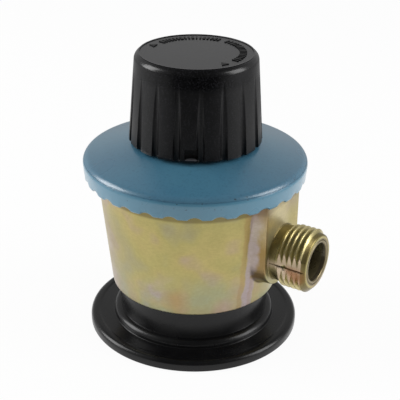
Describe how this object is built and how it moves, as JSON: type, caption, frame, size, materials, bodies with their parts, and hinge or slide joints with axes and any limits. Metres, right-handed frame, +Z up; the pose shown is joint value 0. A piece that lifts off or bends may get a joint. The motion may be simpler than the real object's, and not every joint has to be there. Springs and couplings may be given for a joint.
{
  "type": "gas regulator",
  "caption": "Clip-on low pressure gas regulator with a fluted turning knob, a ball-lock collar that lifts, a crimped cover and a threaded side outlet.",
  "frame": {"origin": "centre of the cylinder valve socket's mouth, in the plane the collar stands on", "axes": "+Z up through the knob, +X along the outlet"},
  "size_m": [0.0835, 0.074, 0.0968],
  "materials": {
    "casting_zinc": "yellow chromate passivated zinc die casting, satin",
    "cover_paint": "blue-grey enamel on pressed steel, satin gloss",
    "knob_plastic": "moulded black plastic, semi-gloss",
    "collar_black": "black enamel on a die casting, glossy",
    "brass": "turned brass",
    "steel": "turned or stamped steel, zinc plated",
    "spring_steel": "spring steel wire",
    "rubber": "nitrile rubber",
    "sintered_bronze": "sintered bronze",
    "plain_zinc": "plain zinc die casting"
  },
  "bodies": {
    "casing": {"body_casting": "casting_zinc", "cover": "cover_paint", "coupling_body": "brass", "retaining_ring": "steel", "collar_spring": "spring_steel", "inlet_nozzle": "brass", "inlet_seal": "rubber", "inlet_filter": "sintered_bronze", "cam_sleeve": "steel", "return_spring": "spring_steel", "guide_tube": "brass", "spindle_seal": "rubber", "knob_ring": "steel", "spring_housing": "plain_zinc", "spring_seat": "brass", "regulating_spring": "spring_steel", "diaphragm": "rubber", "guide_nut": "brass", "lever_pin": "steel", "valve_nozzle": "brass"},
    "knob": {"knob": "knob_plastic"},
    "spindle": {"spindle": "brass", "cross_pin": "steel", "push_pin": "steel"},
    "collar": {"locking_collar": "collar_black", "collar_sleeve": "steel"},
    "diaphragm_centre": {"diaphragm_plate": "steel", "hook_ring": "brass"},
    "lever": {"valve_lever": "steel", "seat_pad": "rubber"},
    "ball_1": {"lock_ball_1": "steel"},
    "ball_2": {"lock_ball_2": "steel"},
    "ball_3": {"lock_ball_3": "steel"},
    "ball_4": {"lock_ball_4": "steel"},
    "ball_5": {"lock_ball_5": "steel"},
    "ball_6": {"lock_ball_6": "steel"}
  },
  "joints": [
    {"name": "knob_turn", "type": "hinge", "parent": "casing", "child": "knob", "pos_m": [0, 0, 0], "axis": [0, 0, 1], "range_deg": [0, 90]},
    {"name": "spindle_drop", "type": "slide", "parent": "knob", "child": "spindle", "axis": [0, 0, 1], "range_m": [-0.00401, 0], "deforming": ["return_spring"]},
    {"name": "collar_lift", "type": "slide", "parent": "casing", "child": "collar", "axis": [0, 0, 1], "range_m": [0, 0.006], "stiffness_N_per_m": 900, "springref_m": -0.008, "deforming": ["collar_spring"]},
    {"name": "ball_1_slide", "type": "slide", "parent": "casing", "child": "ball_1", "axis": [0.866, 0.5, 0], "range_m": [0, 0.00141]},
    {"name": "ball_2_slide", "type": "slide", "parent": "casing", "child": "ball_2", "axis": [0, 1, 0], "range_m": [0, 0.00141]},
    {"name": "ball_3_slide", "type": "slide", "parent": "casing", "child": "ball_3", "axis": [-0.866, 0.5, 0], "range_m": [0, 0.00141]},
    {"name": "ball_4_slide", "type": "slide", "parent": "casing", "child": "ball_4", "axis": [-0.866, -0.5, 0], "range_m": [0, 0.00141]},
    {"name": "ball_5_slide", "type": "slide", "parent": "casing", "child": "ball_5", "axis": [0, -1, 0], "range_m": [0, 0.00141]},
    {"name": "ball_6_slide", "type": "slide", "parent": "casing", "child": "ball_6", "axis": [0.866, -0.5, 0], "range_m": [0, 0.00141]},
    {"name": "diaphragm_lift", "type": "slide", "parent": "casing", "child": "diaphragm_centre", "axis": [0, 0, 1], "range_m": [0, 0.0016], "stiffness_N_per_m": 1500, "springref_m": -0.008, "deforming": ["regulating_spring", "diaphragm"]},
    {"name": "lever_rock", "type": "hinge", "parent": "casing", "child": "lever", "pos_m": [-0.015, 0, 0.046], "axis": [0, -1, 0], "range_deg": [0, 6.2]}
  ],
  "couplings": [
    {"joint": "spindle_drop", "follows": "knob_turn", "m_per_rad": -0.0025465},
    {"joint": "ball_1_slide", "follows": "collar_lift", "ratio": 0.23333},
    {"joint": "ball_2_slide", "follows": "collar_lift", "ratio": 0.23333},
    {"joint": "ball_3_slide", "follows": "collar_lift", "ratio": 0.23333},
    {"joint": "ball_4_slide", "follows": "collar_lift", "ratio": 0.23333},
    {"joint": "ball_5_slide", "follows": "collar_lift", "ratio": 0.23333},
    {"joint": "ball_6_slide", "follows": "collar_lift", "ratio": 0.23333},
    {"joint": "lever_rock", "follows": "diaphragm_lift", "rad_per_m": 66.667}
  ]
}
